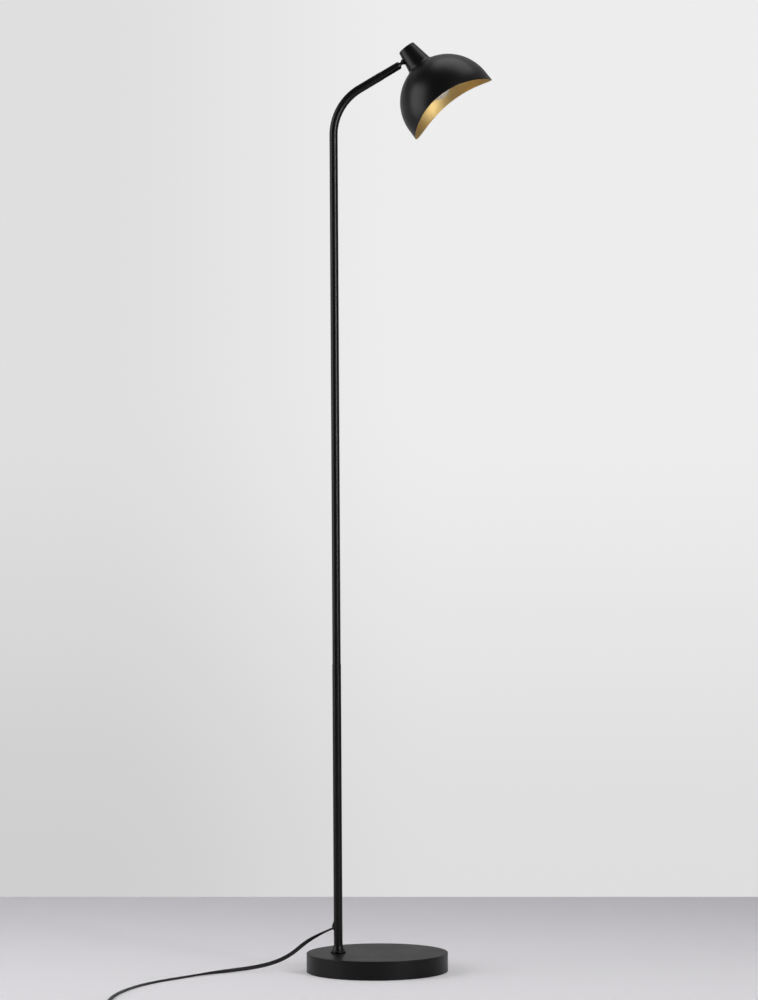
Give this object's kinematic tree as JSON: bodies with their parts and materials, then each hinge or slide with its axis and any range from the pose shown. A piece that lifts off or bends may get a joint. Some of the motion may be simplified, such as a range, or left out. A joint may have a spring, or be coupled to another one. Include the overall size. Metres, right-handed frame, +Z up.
{
  "type": "floor lamp",
  "caption": "Floor lamp with a round weighted base, a slim jointed pole bent over at the top, and a domed shade with a saddle-cut rim on a friction ball joint.",
  "frame": {"origin": "on the floor under the middle of the base, at the underside of the pad", "axes": "+Z up, +X from the pole towards the shade, +Y away from the picture's camera"},
  "size_m": [0.5945, 0.6302, 1.4785],
  "materials": {
    "black_paint": "fine matte powder coat",
    "black_plastic": "moulded, satin",
    "cord_pvc": "smooth satin flex",
    "zinc_steel": "bright zinc",
    "iron": "rough casting",
    "pad_foam": "fine foam",
    "nylon": "natural",
    "brass": "bright",
    "clear_glass": "clear",
    "filament": "phosphor coat",
    "black_glass": "fused glass",
    "plated_pin": "nickel plate"
  },
  "bodies": {
    "stand": {"base_cover": "black_paint", "base_collar": "black_paint", "lower_pole": "black_paint", "middle_pole": "black_paint", "bent_arm": "black_paint", "ball_housing": "black_paint", "cord_grommet": "black_plastic", "switch_base": "black_plastic", "switch_cover": "black_plastic", "coil_tie": "black_plastic", "plug_body": "black_plastic", "supply_cord": "cord_pvc", "inner_flex": "cord_pvc", "cord_coil": "cord_pvc", "foot_stud": "zinc_steel", "foot_washer": "zinc_steel", "foot_lock_washer": "zinc_steel", "foot_nut": "zinc_steel", "foot_bush": "zinc_steel", "lower_joiner": "zinc_steel", "upper_joiner": "zinc_steel", "arm_bush": "zinc_steel", "joint_nipple": "zinc_steel", "switch_screws": "zinc_steel", "switch_spring": "zinc_steel", "base_weight": "iron", "base_pad": "pad_foam", "plug_pins": "plated_pin"},
    "swivel": {"ball_seat": "nylon", "spring_washers": "zinc_steel"},
    "head": {"ball_stem": "black_paint", "stem_washer": "zinc_steel", "stem_nut": "zinc_steel", "socket_cup": "black_paint", "holder_bracket": "zinc_steel", "holder_nipple": "zinc_steel", "nipple_nuts": "zinc_steel", "holder_body": "black_plastic", "holder_sleeve": "brass", "holder_contact": "brass", "shade": "black_paint", "shade_ring": "black_plastic", "bulb_glass": "clear_glass", "bulb_cap": "brass", "bulb_insulator": "black_glass", "bulb_contact": "brass", "bulb_mount": "clear_glass", "bulb_filaments": "filament", "head_leads": "cord_pvc"},
    "button": {"switch_button": "black_plastic"}
  },
  "joints": [
    {"name": "head_swivel", "type": "hinge", "parent": "stand", "child": "swivel", "pos_m": [0.04121, 0, 1.441], "axis": [0.8616, 0, 0.5075], "range_deg": [-160, 160]},
    {"name": "head_tilt", "type": "hinge", "parent": "swivel", "child": "head", "pos_m": [0.04121, 0, 1.441], "axis": [0, 1, 0], "range_deg": [-22, 35]},
    {"name": "switch_press", "type": "slide", "parent": "stand", "child": "button", "axis": [0, 0, -1], "range_m": [0, 0.0032], "stiffness_N_per_m": 700, "springref_m": -0.003, "deforming": ["switch_spring"]}
  ]
}
